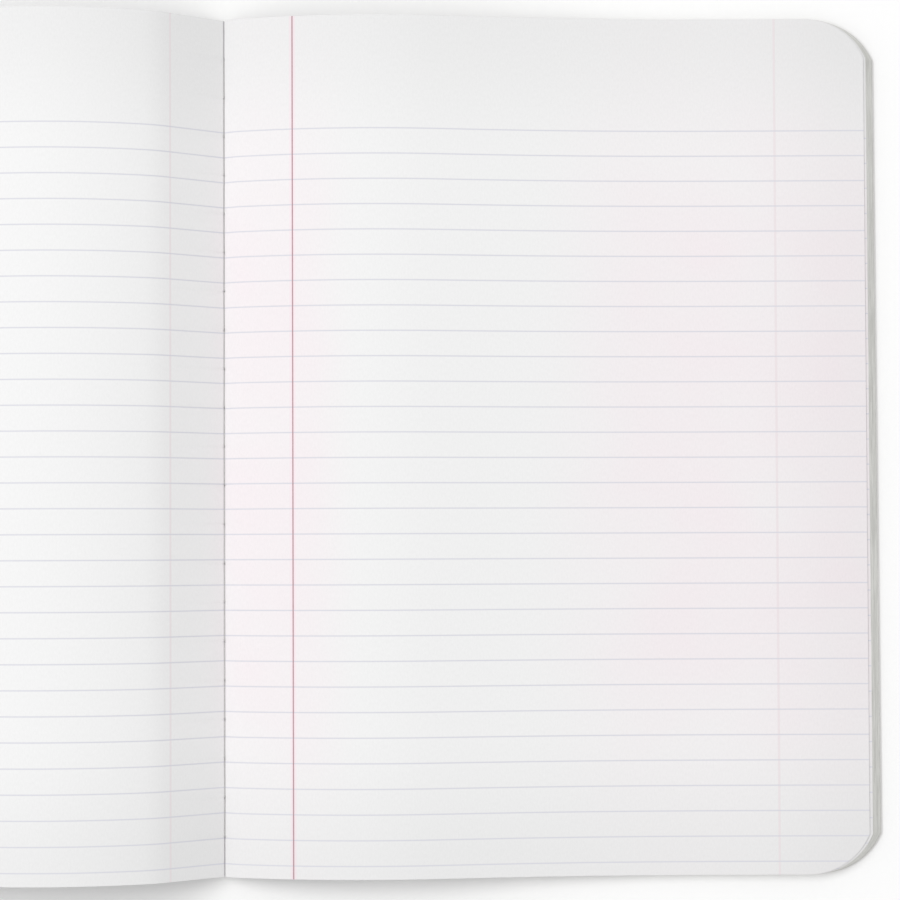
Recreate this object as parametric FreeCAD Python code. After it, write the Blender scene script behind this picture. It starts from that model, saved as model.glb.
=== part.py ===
import FreeCAD, Part
import math
import os

# An open composition notebook, lying face up at its centre spread.
# +X runs towards the right-hand page's fore edge, +Y towards the head and +Z up.
# The origin is on the table, under the fold, half way between head and tail.
# All sizes are in millimetres and all angles in degrees.

os.makedirs("parts", exist_ok=True)

# Leaves: fifty on each side of the fold, taken together
LEAF_HEIGHT = 247.65
LEAF_WIDTH = 188.1
LEAF_THICKNESS = 0.075
LEAVES_A_SIDE = 50
PILE = LEAF_THICKNESS * LEAVES_A_SIDE
FOLD_EXTRA_DEPTH = 0.55

# Covers: a pasted-down lining leaf, a board and a cloth tape
LINING_GAP = 0.3
LINING_THICKNESS = 0.1
BOARD_THICKNESS = 0.55
TAPE_GLUE = 0.1
TAPE_THICKNESS = 0.25
TAPE_LAP = 31.75
TAPE_CREASE_GAP = 0.1
BOARD_SETBACK = 1.0

# Sewing: a lockstitch through the fold
STITCH_END_MARGIN = 11.325
STITCH_COUNT = 20
THREAD_RADIUS = 0.18
THREAD_CLEARANCE = 0.02
HOLE_CLEARANCE = 0.1
STITCH_BEND = 0.3

# Left wing of leaves, from the fold outwards. Its lengths are shares of the leaf width.
LEFT_RISE_ANGLE = 43.4
LEFT_RISE = 0.1122 * LEAF_WIDTH
LEFT_KNEE_RADIUS = 0.1164 * LEAF_WIDTH
LEFT_KNEE_ANGLE = 24.6
LEFT_CROWN_RADIUS = 0.3764 * LEAF_WIDTH
LEFT_FALL_ANGLE = 23.0
LEFT_FOOT_RADIUS = 0.7709 * LEAF_WIDTH

# Right wing of leaves, built the same way
RIGHT_RISE_ANGLE = 37.5
RIGHT_RISE = 0.0106 * LEAF_WIDTH
RIGHT_KNEE_RADIUS = 0.0851 * LEAF_WIDTH
RIGHT_KNEE_ANGLE = 19.6
RIGHT_CROWN_RADIUS = 0.5603 * LEAF_WIDTH
RIGHT_FALL_ANGLE = 10.5
RIGHT_FOOT_RADIUS = 1.9405 * LEAF_WIDTH

# Fore edges: the leaves were trimmed flush while shut, so they fan out when open
LOOSE_LEAVES = 2
LEDGE_HEAD = 0.7
LEDGE_TAIL = 1.0
FAN_HEAD = 3.0
FAN_TAIL = 3.8
COVER_OVERHANG = 0.3

# Corners: one punched arc, set a little too close to the fore edge to meet it smoothly
CORNER_RADIUS = 19.05
CORNER_SHORTFALL = 1.55

# Sizes that follow from the ones above
LOOSE_PILE = LOOSE_LEAVES * LEAF_THICKNESS
THREAD_SPACE = 2.0 * (THREAD_RADIUS + THREAD_CLEARANCE)
FOLD_DEPTH = PILE + FOLD_EXTRA_DEPTH
FOLD_Z = TAPE_THICKNESS + THREAD_SPACE + FOLD_DEPTH
LINING_DEPTH = PILE + LINING_GAP
BOARD_DEPTH = LINING_DEPTH + LINING_THICKNESS
FLAT_Z = BOARD_DEPTH + BOARD_THICKNESS
TAPE_DEPTH = FLAT_Z + TAPE_GLUE
TAPE_OUTSIDE = TAPE_DEPTH + TAPE_THICKNESS
HALF_HEIGHT = LEAF_HEIGHT / 2.0
CORNER_INSET = CORNER_RADIUS - CORNER_SHORTFALL
STITCH_PITCH = (LEAF_HEIGHT - 2.0 * STITCH_END_MARGIN) / STITCH_COUNT
HOLE_RADIUS = 2.0 * THREAD_RADIUS + THREAD_CLEARANCE + HOLE_CLEARANCE
OVERCUT = 5.0


def vec(x, y, z):
    return FreeCAD.Vector(x, y, z)


class Wing:
    """One side of the open leaves: a path in the XZ plane, measured outwards from the fold."""

    def __init__(self, side, rise_angle, rise, knee_radius, knee_angle, crown_radius, fall_angle, foot_radius):
        self.side = side
        self.start = math.radians(rise_angle)
        knee = math.radians(knee_angle)
        fall = math.radians(fall_angle)
        climb = rise * math.sin(self.start)
        climb += knee_radius * (math.cos(knee) - math.cos(self.start))
        climb += crown_radius * (math.cos(fall) - math.cos(knee))
        climb -= foot_radius * (1.0 - math.cos(fall))
        # The straight fall is as long as it takes for the outer part to lie level on its cover
        fall_length = (FOLD_Z - FLAT_Z + climb) / math.sin(fall)
        self.pieces = []
        self.reach = 0.0
        self.x = 0.0
        self.z = FOLD_Z
        self.add_piece(rise, self.start, self.start)
        self.add_piece(knee_radius * (self.start - knee), self.start, knee)
        self.add_piece(crown_radius * (knee + fall), knee, -fall)
        self.add_piece(fall_length, -fall, -fall)
        self.add_piece(foot_radius * fall, -fall, 0.0)
        self.add_piece(LEAF_WIDTH + OVERCUT - self.reach, 0.0, 0.0)
        self.edge_x = self.x - OVERCUT

    def add_piece(self, length, angle_from, angle_to):
        self.pieces.append((self.reach, length, self.x, self.z, angle_from, angle_to))
        self.x, self.z = self.advance(length, length, self.x, self.z, angle_from, angle_to)
        self.reach += length

    def advance(self, run, length, x, z, angle_from, angle_to):
        """The point a given run along a straight or an arc that starts at x, z."""
        if angle_from == angle_to:
            return x + run * math.cos(angle_from), z + run * math.sin(angle_from)
        radius = length / (angle_from - angle_to)
        angle = angle_from - run / radius
        dx = radius * (math.sin(angle_from) - math.sin(angle))
        dz = radius * (math.cos(angle) - math.cos(angle_from))
        return x + dx, z + dz

    def offset_point(self, piece, run, depth, y):
        """The point under the path at this depth, square to the path."""
        _, length, x, z, angle_from, angle_to = piece
        px, pz = self.advance(run, length, x, z, angle_from, angle_to)
        angle = angle_from + (angle_to - angle_from) * run / length
        px += depth * math.sin(angle)
        pz -= depth * math.cos(angle)
        return vec(self.side * px, y, pz)

    def edges(self, depth, reach_from, reach_to, y):
        """Edges of the path at one depth, outwards between two lengths along the top leaf."""
        found = []
        for piece in self.pieces:
            begin, length = piece[0], piece[1]
            first = begin == 0.0
            run_from = reach_from - begin if first else max(reach_from - begin, 0.0)
            run_to = min(reach_to - begin, length)
            if run_to - run_from < 1e-6:
                continue
            a = self.offset_point(piece, run_from, depth, y)
            b = self.offset_point(piece, run_to, depth, y)
            if piece[4] == piece[5]:
                found.append(Part.LineSegment(a, b).toShape())
            else:
                middle = self.offset_point(piece, (run_from + run_to) / 2.0, depth, y)
                found.append(Part.Arc(a, middle, b).toShape())
        return found

    def reach_back(self, depth, drop):
        """How far back along the rising straight this depth comes down to a drop below the fold."""
        return -(drop - depth * math.cos(self.start)) / math.sin(self.start)

    def crease_x(self):
        """Where the tape's outside turns from lying flat to following this wing."""
        return (TAPE_OUTSIDE - FOLD_Z * math.cos(self.start)) / math.sin(self.start)


LEFT = Wing(-1, LEFT_RISE_ANGLE, LEFT_RISE, LEFT_KNEE_RADIUS, LEFT_KNEE_ANGLE,
            LEFT_CROWN_RADIUS, LEFT_FALL_ANGLE, LEFT_FOOT_RADIUS)
RIGHT = Wing(1, RIGHT_RISE_ANGLE, RIGHT_RISE, RIGHT_KNEE_RADIUS, RIGHT_KNEE_ANGLE,
             RIGHT_CROWN_RADIUS, RIGHT_FALL_ANGLE, RIGHT_FOOT_RADIUS)


def face_of(edges):
    return Part.Face(Part.Wire(Part.__sortEdges__(edges)))


def joined(points):
    """Straight edges through a row of points."""
    return [Part.LineSegment(a, b).toShape() for a, b in zip(points, points[1:])]


def end_of(edges, last):
    """The far point of a row of edges in the order they were made."""
    edge = edges[-1] if last else edges[0]
    return edge.valueAt(edge.LastParameter if last else edge.FirstParameter)


def band(wing, depth_from, depth_to, reach_from, reach_to):
    """A sheet of even thickness that follows one wing, from tail to head."""
    y = -HALF_HEIGHT
    upper = wing.edges(depth_from, reach_from, reach_to, y)
    lower = wing.edges(depth_to, reach_from, reach_to, y)
    ends = joined([end_of(upper, False), end_of(lower, False)])
    ends += joined([end_of(upper, True), end_of(lower, True)])
    return face_of(upper + lower + ends).extrude(vec(0, LEAF_HEIGHT, 0))


def spread(depth_from, depth_to, drop_from, drop_to):
    """Leaves of both wings in one piece, joined through the fold between two drops below its top."""
    y = -HALF_HEIGHT
    far = LEAF_WIDTH + OVERCUT
    edges = []
    for depth, drop in ((depth_from, drop_from), (depth_to, drop_to)):
        left = LEFT.edges(depth, LEFT.reach_back(depth, drop) if depth else 0.0, far, y)
        right = RIGHT.edges(depth, RIGHT.reach_back(depth, drop) if depth else 0.0, far, y)
        edges += left + right
        foot_left = end_of(left, False)
        foot_right = end_of(right, False)
        if (foot_left - foot_right).Length > 1e-6:
            edges += joined([foot_left, foot_right])
    for wing in (LEFT, RIGHT):
        edges += joined([wing.offset_point(wing.pieces[-1], wing.pieces[-1][1], depth, y)
                         for depth in (depth_from, depth_to)])
    return face_of(edges).extrude(vec(0, LEAF_HEIGHT, 0))


def edge_cutter(wing, head, tail, level_from, level_to):
    """What lies beyond a fore edge. head and tail each give how far it stands out at two levels."""
    wires = []
    for y, (out_from, out_to) in ((HALF_HEIGHT, head), (-HALF_HEIGHT, tail)):
        near = [wing.side * (wing.edge_x + out) for out in (out_from, out_to)]
        beyond = wing.side * (wing.edge_x + 4.0 * OVERCUT)
        corners = [vec(near[0], y, level_from), vec(beyond, y, level_from)]
        corners += [vec(beyond, y, level_to), vec(near[1], y, level_to)]
        wires.append(Part.makePolygon(corners + [corners[0]]))
    return Part.makeLoft(wires, True, True)


def corner_cutter(wing, end, out_from, out_to, level_from, level_to):
    """What the corner punch takes off at the head or tail, leaning with the fan of the leaves."""
    edge = wing.edge_x + out_from
    centre_x = edge - CORNER_INSET
    centre_y = HALF_HEIGHT - CORNER_RADIUS
    arc_points = []
    stop = math.acos(1.0 - 0.3 * CORNER_SHORTFALL / CORNER_RADIUS)
    for angle in (math.pi / 2.0, (math.pi / 2.0 + stop) / 2.0, stop):
        x = centre_x + CORNER_RADIUS * math.cos(angle)
        y = centre_y + CORNER_RADIUS * math.sin(angle)
        arc_points.append(vec(wing.side * x, end * y, level_from))
    outer_x = wing.side * (edge + 3.0 * OVERCUT)
    outer_y = end * (HALF_HEIGHT + OVERCUT)
    rest = [arc_points[2], vec(outer_x, arc_points[2].y, level_from), vec(outer_x, outer_y, level_from)]
    rest += [vec(arc_points[0].x, outer_y, level_from), arc_points[0]]
    face = face_of([Part.Arc(*arc_points).toShape()] + joined(rest))
    return face.extrude(vec(wing.side * (out_to - out_from), 0, level_to - level_from))


def reaches(wing, ledge, fan):
    """Head and tail values of a ledge and a fan. Only the right-hand fan opens towards the tail."""
    if wing is RIGHT:
        return ledge, fan
    middle = (sum(ledge) / 2.0, sum(fan) / 2.0)
    return (middle[0], middle[0]), (middle[1], middle[1])


def trimmed(shape, depth_from, depth_to, out_from, out_to, wings):
    """Trim fore edges and corners of leaves that lean evenly from one depth to the other."""
    thickness = depth_to - depth_from
    level_from = FLAT_Z - depth_from + thickness
    level_to = FLAT_Z - depth_to - thickness
    for wing in wings:
        near, far = reaches(wing, out_from, out_to)
        ends = []
        for index in (0, 1):
            lean = far[index] - near[index]
            ends.append((near[index] - lean, far[index] + lean))
        cutters = [edge_cutter(wing, ends[0], ends[1], level_from, level_to)]
        cutters.append(corner_cutter(wing, 1, ends[0][0], ends[0][1], level_from, level_to))
        cutters.append(corner_cutter(wing, -1, ends[1][0], ends[1][1], level_from, level_to))
        for cutter in cutters:
            shape = shape.cut(cutter)
    return shape


def page_block():
    """All the leaves: the two loose top ones stop short, the rest fan out below them."""
    none = (0.0, 0.0)
    ledge = (LEDGE_HEAD, LEDGE_TAIL)
    fan = (FAN_HEAD, FAN_TAIL)
    fold_share = LOOSE_PILE * FOLD_DEPTH / PILE
    top = trimmed(spread(0.0, LOOSE_PILE, 0.0, fold_share), 0.0, LOOSE_PILE, none, none, (LEFT, RIGHT))
    rest = spread(LOOSE_PILE, PILE, fold_share, FOLD_DEPTH)
    rest = trimmed(rest, LOOSE_PILE, PILE, ledge, fan, (LEFT, RIGHT))
    block = top.fuse(rest).removeSplitter()
    for y in needle_holes():
        hole = Part.makeCylinder(HOLE_RADIUS, FOLD_DEPTH + 2.0 * OVERCUT, vec(0, y, FOLD_Z - FOLD_DEPTH - OVERCUT))
        block = block.cut(hole)
    return block


def needle_holes():
    return [(i - STITCH_COUNT / 2.0) * STITCH_PITCH for i in range(STITCH_COUNT + 1)]


def stitch(y_from, y_to, z_run, z_end):
    """One length of thread along the fold, with its two ends turned into the needle holes."""
    offset = THREAD_RADIUS + THREAD_CLEARANCE / 2.0
    ya = y_from + offset
    yb = y_to - offset
    bend = STITCH_BEND if z_end < z_run else -STITCH_BEND
    path = [vec(0, ya, z_end), vec(0, ya, z_run - bend), vec(0, ya + STITCH_BEND, z_run)]
    path += [vec(0, yb - STITCH_BEND, z_run), vec(0, yb, z_run - bend), vec(0, yb, z_end)]
    profile = Part.Wire(Part.makeCircle(THREAD_RADIUS, path[0], vec(0, 0, 1)))
    mitred = 1
    return Part.makePolygon(path).makePipeShell([profile], True, False, mitred)


def sewing_thread():
    """The thread inside the fold and the one outside it, locked together half way through the leaves."""
    half_angle = (math.pi - LEFT.start - RIGHT.start) / 2.0
    inside_z = FOLD_Z + (THREAD_RADIUS + THREAD_CLEARANCE) / math.sin(half_angle)
    outside_z = TAPE_THICKNESS + THREAD_SPACE / 2.0
    lock_z = FOLD_Z - FOLD_DEPTH / 2.0
    holes = needle_holes()
    rows = []
    for y_from, y_to in zip(holes, holes[1:]):
        rows.append(stitch(y_from, y_to, inside_z, lock_z + THREAD_CLEARANCE))
        rows.append(stitch(y_from, y_to, outside_z, lock_z - THREAD_CLEARANCE))
    return Part.makeCompound(rows)


def spine_tape():
    """The strip of cloth tape that lies flat under the fold, between its two creases."""
    width = LEFT.crease_x() + RIGHT.crease_x()
    return Part.makeBox(width, LEAF_HEIGHT, TAPE_THICKNESS, vec(-LEFT.crease_x(), -HALF_HEIGHT, 0))


def tape_lap(wing):
    """The side of the tape that is stuck to the outside of one cover."""
    start = wing.reach_back(TAPE_OUTSIDE, FOLD_Z) - OVERCUT
    lap = band(wing, TAPE_DEPTH, TAPE_OUTSIDE, start, TAPE_LAP)
    edge = wing.crease_x() + TAPE_CREASE_GAP
    beyond = Part.makeBox(4.0 * OVERCUT, LEAF_HEIGHT, 4.0 * OVERCUT,
                          vec(edge - 4.0 * OVERCUT, -HALF_HEIGHT, -2.0 * OVERCUT))
    if wing.side < 0:
        beyond = beyond.mirror(vec(0, 0, 0), vec(1, 0, 0))
    return lap.cut(beyond)


def cover_sheet(wing, depth, thickness):
    """A board or its lining, trimmed and cornered like the leaves it lies under."""
    sheet = band(wing, depth, depth + thickness, BOARD_SETBACK, LEAF_WIDTH + OVERCUT)
    out = (FAN_HEAD + COVER_OVERHANG, FAN_TAIL + COVER_OVERHANG)
    return trimmed(sheet, depth, depth + thickness, out, out, (wing,))


nodes = {
    "page_block": page_block(),
    "sewing_thread": sewing_thread(),
    "spine_tape": spine_tape(),
}
for name, wing in (("front", LEFT), ("back", RIGHT)):
    nodes[name + "_lining"] = cover_sheet(wing, LINING_DEPTH, LINING_THICKNESS)
    nodes[name + "_board"] = cover_sheet(wing, BOARD_DEPTH, BOARD_THICKNESS)
    nodes[name + "_tape_lap"] = tape_lap(wing)

for name, shape in nodes.items():
    shape.exportStep("parts/" + name + ".step")
    box = shape.BoundBox
    print(name, len(shape.Solids), shape.isValid(), round(shape.Volume, 1),
          [round(v, 2) for v in (box.XMin, box.YMin, box.ZMin, box.XMax, box.YMax, box.ZMax)])
print("page edges at", round(-LEFT.edge_x, 2), round(RIGHT.edge_x, 2),
      "creases at", round(-LEFT.crease_x(), 3), round(RIGHT.crease_x(), 3))
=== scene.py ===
import logging
import math
import random
from dataclasses import dataclass, field
from enum import Enum
from typing import Iterable, Sequence

import bmesh
import bpy
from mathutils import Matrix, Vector


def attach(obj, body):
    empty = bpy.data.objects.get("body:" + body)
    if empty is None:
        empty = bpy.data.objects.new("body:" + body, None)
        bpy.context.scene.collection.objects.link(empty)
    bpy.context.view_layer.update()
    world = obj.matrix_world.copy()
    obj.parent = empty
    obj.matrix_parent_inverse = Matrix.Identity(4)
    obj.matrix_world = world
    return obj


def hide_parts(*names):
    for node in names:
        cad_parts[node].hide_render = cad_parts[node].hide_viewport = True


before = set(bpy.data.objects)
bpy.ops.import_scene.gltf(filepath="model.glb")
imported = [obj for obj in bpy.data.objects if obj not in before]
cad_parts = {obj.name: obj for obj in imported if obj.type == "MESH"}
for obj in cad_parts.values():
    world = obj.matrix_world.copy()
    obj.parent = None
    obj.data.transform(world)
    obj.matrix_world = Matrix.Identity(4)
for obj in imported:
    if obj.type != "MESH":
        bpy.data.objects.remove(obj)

# Looks of an open composition notebook, lying face up at its centre spread.
# +X runs towards the right-hand page's fore edge, +Y towards the head and +Z up.
# Lengths are in metres, and MM turns a size in millimetres into metres.

MM = 0.001
LOG = logging.getLogger("notebook")

MATH = "ShaderNodeMath"
VECTOR_MATH = "ShaderNodeVectorMath"
RANGE = "ShaderNodeMapRange"
NOISE = "ShaderNodeTexNoise"
MIX = "ShaderNodeMix"
MIX_FACTOR, MIX_FIRST, MIX_SECOND = 0, 6, 7

Point = tuple[float, float, float]
Pair = tuple[float, float]
Colour = tuple[float, float, float, float]
Socket = int | str


class Body(Enum):
    """The rigid body that the leaves and their thread ride on."""

    LEAVES = "leaves"


class Node(Enum):
    """The construction nodes that scene pieces dress or replace."""

    PAGE_BLOCK = "page_block"
    THREAD = "sewing_thread"
    SPINE_TAPE = "spine_tape"
    FRONT_LAP = "front_tape_lap"
    BACK_LAP = "back_tape_lap"
    FRONT_BOARD = "front_board"
    BACK_BOARD = "back_board"
    FRONT_LINING = "front_lining"
    BACK_LINING = "back_lining"


class Side(Enum):
    """Left and right of the fold, as a sign along X."""

    LEFT = -1
    RIGHT = 1


def linear(code: str) -> Colour:
    """Turn an sRGB hex code into the linear colour that shaders read.

    Args:
        code: Six hex digits, with a leading #.

    Returns:
        Linear red, green and blue, and an alpha of one.
    """
    parts = [int(code[i:i + 2], 16) / 255.0 for i in (1, 3, 5)]
    red, green, blue = (c / 12.92 if c <= 0.04045 else ((c + 0.055) / 1.055) ** 2.4 for c in parts)
    return red, green, blue, 1.0


def new_object(name: str, data: bpy.types.ID) -> bpy.types.Object:
    """Make an object and link it to the scene.

    Args:
        name: The object's name.
        data: The mesh, light or camera that it holds.

    Returns:
        The new object.
    """
    made = bpy.data.objects.new(name, data)
    bpy.context.scene.collection.objects.link(made)
    return made


class Recipe:
    """A node tree that is put together from named nodes."""

    def __init__(self, tree: bpy.types.NodeTree) -> None:
        """Start with an empty tree.

        Args:
            tree: The tree to fill.
        """
        self.tree = tree
        self.tree.nodes.clear()
        self.made: dict[str, bpy.types.Node] = {}

    @classmethod
    def for_material(cls, name: str) -> tuple["Recipe", bpy.types.Material]:
        """Start the recipe of a new material.

        Args:
            name: The material's name.

        Returns:
            The recipe and the material.
        """
        material = bpy.data.materials.new(name)
        material.use_nodes = True
        return cls(material.node_tree), material

    def add(self, name: str, kind: str, inputs: dict[Socket, object] | None = None,
            **settings: object) -> None:
        """Add a node, give it its settings, and fill or link its inputs.

        Args:
            name: What later nodes call this one.
            kind: The node's type.
            inputs: Each input's value, or a text that names an earlier node and its output.
            settings: The node's properties.
        """
        node = self.tree.nodes.new(kind)
        for key, value in settings.items():
            setattr(node, key, value)
        for socket, value in (inputs or {}).items():
            if isinstance(value, str):
                source, _, output = value.partition(".")
                found = self.made[source].outputs[int(output) if output.isdigit() else output or 0]
                self.tree.links.new(found, node.inputs[socket])
            else:
                node.inputs[socket].default_value = value
        self.made[name] = node

    def stripe(self, name: str, across: str, place: float, width: float, soft: float) -> None:
        """Mask a straight line of ink: 1 on the line, 0 beside it.

        Args:
            name: The mask's name.
            across: The output that holds the distance across the page.
            place: Where the line lies.
            width: How wide it is.
            soft: How wide its edges fade.
        """
        self.add(name + "_from", MATH, {0: across, 1: place}, operation="SUBTRACT")
        self.add(name + "_off", MATH, {0: name + "_from"}, operation="ABSOLUTE")
        self.add(name, RANGE, {"Value": name + "_off", "From Min": (width - soft) / 2,
                               "From Max": (width + soft) / 2, "To Min": 1.0, "To Max": 0.0},
                 interpolation_type="SMOOTHSTEP")


@dataclass(frozen=True)
class Ruling:
    """Where the lines are printed on a page, measured from the fold and from mid height."""

    header: float = 91.13 * MM
    pitch: float = 7.281 * MM
    count: int = 30
    rule_width: float = 0.36 * MM
    rule_soft: float = 0.2 * MM
    margin_width: float = 0.38 * MM
    margin_soft: float = 0.13 * MM
    halo_width: float = 1.7 * MM
    halo_soft: float = 0.6 * MM
    recto_margin: float = 21.8 * MM
    verso_margin: float = 162.2 * MM
    recto_ghost: float = 162.2 * MM
    verso_ghost: float = 19.7 * MM
    ghost_width: float = 0.7 * MM
    ghost_soft: float = 0.3 * MM
    # Width and soft edges of the shade painted along the fold
    fold_shade_width: float = 0.44 * MM
    fold_shade_soft: float = 0.16 * MM


@dataclass(frozen=True)
class RuledPaper:
    """White uncoated writing paper with pale blue-grey rules and a dusky red margin line.

    Uncoated paper is matt and softly cloudy, shows a little of the ink behind it and
    has short fibres, drawn a few times coarser than they are so that they show.
    """

    ruling: Ruling = field(default_factory=Ruling)
    paper: str = "#F0F0F0"
    blush: str = "#F2EAED"
    rule_ink: str = "#D7D7DF"
    margin_ink: str = "#AF8A92"
    margin_halo: str = "#F6E4EA"
    ghost_ink: str = "#E6DADD"
    # The grey below is painted shade for the fold
    fold_shade: str = "#B9B9BC"
    fleck: str = "#8C8884"
    cloud_size: float = 34.0 * MM
    fibre_size: float = 0.5 * MM
    press_size: float = 0.4 * MM
    cockle_size: float = 45.0 * MM
    cockle_height: float = 0.25 * MM
    fibre_relief: float = 0.03
    fibre_stretch: float = 0.45
    halo_share: float = 0.7
    ghost_share: float = 0.5
    # How strongly the painted fold shade greys the paper
    fold_shade_share: float = 0.3
    fleck_spacing: float = 31.0 * MM
    fleck_radius: float = 0.16 * MM
    fleck_share: float = 0.14

    def build(self) -> bpy.types.Material:
        """Make the material, which reads places on the page from the piece's own UV map.

        Returns:
            The material.
        """
        recipe, material = Recipe.for_material("ruled_writing_paper")
        recipe.add("uv", "ShaderNodeUVMap", uv_map="page")
        recipe.add("page", "ShaderNodeSeparateXYZ", {0: "uv"})
        self.add_rules(recipe)
        self.add_margins(recipe)
        self.add_paper(recipe)
        self.add_flecks(recipe)
        layers = (("ghosted", "paper", "ghost_strength", self.ghost_ink),
                  ("ruled", "ghosted.2", "rules", self.rule_ink),
                  ("margined", "ruled.2", "margins", self.margin_ink),
                  ("flecked", "margined.2", "flecks", self.fleck))
        for name, below, mask, ink in layers:
            recipe.add(name, MIX, {MIX_FACTOR: mask, MIX_FIRST: below, MIX_SECOND: linear(ink)},
                       data_type="RGBA")
        recipe.add("cockle", NOISE,
                   {"Vector": "uv", "Scale": 1.0 / self.cockle_size, "Detail": 1.0})
        recipe.add("relief", MATH, {0: "fibre.Fac", 1: self.fibre_relief, 2: "cockle.Fac"},
                   operation="MULTIPLY_ADD")
        recipe.add("bump", "ShaderNodeBump",
                   {"Height": "relief", "Distance": self.cockle_height, "Strength": 0.35})
        # Uncoated paper scatters light evenly, so it is bright and matt with no highlight
        recipe.add("shader", "ShaderNodeBsdfPrincipled",
                   {"Base Color": "flecked.2", "Roughness": 0.82, "Specular IOR Level": 0.3,
                    "Sheen Weight": 0.08, "Normal": "bump"})
        recipe.add("output", "ShaderNodeOutputMaterial", {"Surface": "shader"})
        return material

    def add_rules(self, recipe: Recipe) -> None:
        """Mask the evenly spaced rules below the header, a little uneven as a roller prints them.

        Args:
            recipe: The tree to add to.
        """
        r = self.ruling
        recipe.add("down", MATH, {0: r.header, 1: "page.Y"}, operation="SUBTRACT")
        recipe.add("line", MATH, {0: "down", 1: r.pitch}, operation="DIVIDE")
        recipe.add("raised", MATH, {0: "line", 1: 0.5}, operation="ADD")
        recipe.add("part", MATH, {0: "raised"}, operation="FRACT")
        recipe.add("gap", MATH, {0: "part", 1: r.pitch}, operation="MULTIPLY")
        recipe.stripe("rule", "gap", r.pitch / 2, r.rule_width, r.rule_soft)
        recipe.add("below_header", MATH, {0: "line", 1: -0.5}, operation="GREATER_THAN")
        recipe.add("above_tail", MATH, {0: "line", 1: r.count - 0.5}, operation="LESS_THAN")
        recipe.add("inside", MATH, {0: "below_header", 1: "above_tail"}, operation="MULTIPLY")
        recipe.add("ink_noise", NOISE, {"Vector": "uv", "Scale": 1.0 / self.press_size})
        recipe.add("press", RANGE, {"Value": "ink_noise.Fac", "From Min": 0.3, "From Max": 0.7,
                                    "To Min": 0.84, "To Max": 1.0})
        recipe.add("placed_rule", MATH, {0: "rule", 1: "inside"}, operation="MULTIPLY")
        recipe.add("rules", MATH, {0: "placed_rule", 1: "press"}, operation="MULTIPLY")

    def add_margins(self, recipe: Recipe) -> None:
        """Mask both pages' margin lines, the halos of their ink, the lines that show through and
        the painted shade along the fold.

        Args:
            recipe: The tree to add to.
        """
        r = self.ruling
        pairs = (("margin", r.recto_margin, -r.verso_margin, r.margin_width, r.margin_soft),
                 ("halo", r.recto_margin, -r.verso_margin, r.halo_width, r.halo_soft),
                 ("ghost", r.recto_ghost, -r.verso_ghost, r.ghost_width, r.ghost_soft))
        for name, recto, verso, width, soft in pairs:
            recipe.stripe(name + "_recto", "page.X", recto, width, soft)
            recipe.stripe(name + "_verso", "page.X", verso, width, soft)
            recipe.add(name, MATH, {0: name + "_recto", 1: name + "_verso"}, operation="MAXIMUM")
        recipe.add("margins", MATH, {0: "margin", 1: "press"}, operation="MULTIPLY")
        # A thin band along the fold, where shade is painted into the paper
        recipe.stripe("fold", "page.X", 0.0, r.fold_shade_width, r.fold_shade_soft)
        shares = (("halo", self.halo_share), ("ghost", self.ghost_share), ("fold", self.fold_shade_share))
        for name, share in shares:
            recipe.add(name + "_strength", MATH, {0: name, 1: share}, operation="MULTIPLY")

    def add_paper(self, recipe: Recipe) -> None:
        """Colour the bare paper: cloudy, with fibres and a pink blush, with painted shade in the
        fold and painted shade that greys it near its edges.

        Args:
            recipe: The tree to add to.
        """
        # Each area's name, axis and centre, how far off it starts and ends to fade, and its least
        areas = (("inner", "page.X", 16.0 * MM, 8.0 * MM, 26.0 * MM, 0.0),
                 ("outer", "page.X", 155.0 * MM, 20.0 * MM, 70.0 * MM, 0.0),
                 ("middle", "page.Y", 0.0, 50.0 * MM, 118.0 * MM, 0.15),
                 # The last two areas paint shade that greys the page towards its head, tail and
                 # fore edge
                 ("ends_wear", "page.Y", 0.0, 80.0 * MM, 124.0 * MM, 0.94),
                 ("fore_wear", "page.X", 0.0, 150.0 * MM, 190.0 * MM, 0.95))
        for name, axis, centre, near, far, least in areas:
            recipe.add(name + "_from", MATH, {0: axis, 1: centre}, operation="SUBTRACT")
            recipe.add(name + "_off", MATH, {0: name + "_from"}, operation="ABSOLUTE")
            recipe.add(name, RANGE, {"Value": name + "_off", "From Min": near, "From Max": far,
                                     "To Min": 1.0, "To Max": least},
                       interpolation_type="SMOOTHSTEP")
        recipe.add("area", MATH, {0: "inner", 1: "outer"}, operation="MAXIMUM")
        recipe.add("blush_area", MATH, {0: "area", 1: "middle"}, operation="MULTIPLY")
        recipe.add("cloud_noise", NOISE,
                   {"Vector": "uv", "Scale": 1.0 / self.cloud_size, "Detail": 3.0})
        recipe.add("cloud", RANGE, {"Value": "cloud_noise.Fac", "From Min": 0.3, "From Max": 0.7,
                                    "To Min": 0.45, "To Max": 1.0})
        recipe.add("blush", MATH, {0: "cloud", 1: "blush_area"}, operation="MULTIPLY")
        recipe.add("long", "ShaderNodeMapping",
                   {"Vector": "uv", "Scale": (1.0, self.fibre_stretch, 1.0)})
        recipe.add("fibre", NOISE, {"Vector": "long", "Scale": 1.0 / self.fibre_size, "Detail": 4.0,
                                    "Roughness": 0.65})
        recipe.add("tone", RANGE, {"Value": "fibre.Fac", "From Min": 0.25, "From Max": 0.75,
                                   "To Min": 0.965, "To Max": 1.02})
        recipe.add("sheet", MIX, {MIX_FACTOR: "blush", MIX_FIRST: linear(self.paper),
                                  MIX_SECOND: linear(self.blush)}, data_type="RGBA")
        recipe.add("toned", VECTOR_MATH, {0: "sheet.2", "Scale": "tone"}, operation="SCALE")
        recipe.add("haloed", MIX, {MIX_FACTOR: "halo_strength", MIX_FIRST: "toned",
                                   MIX_SECOND: linear(self.margin_halo)}, data_type="RGBA")
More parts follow.
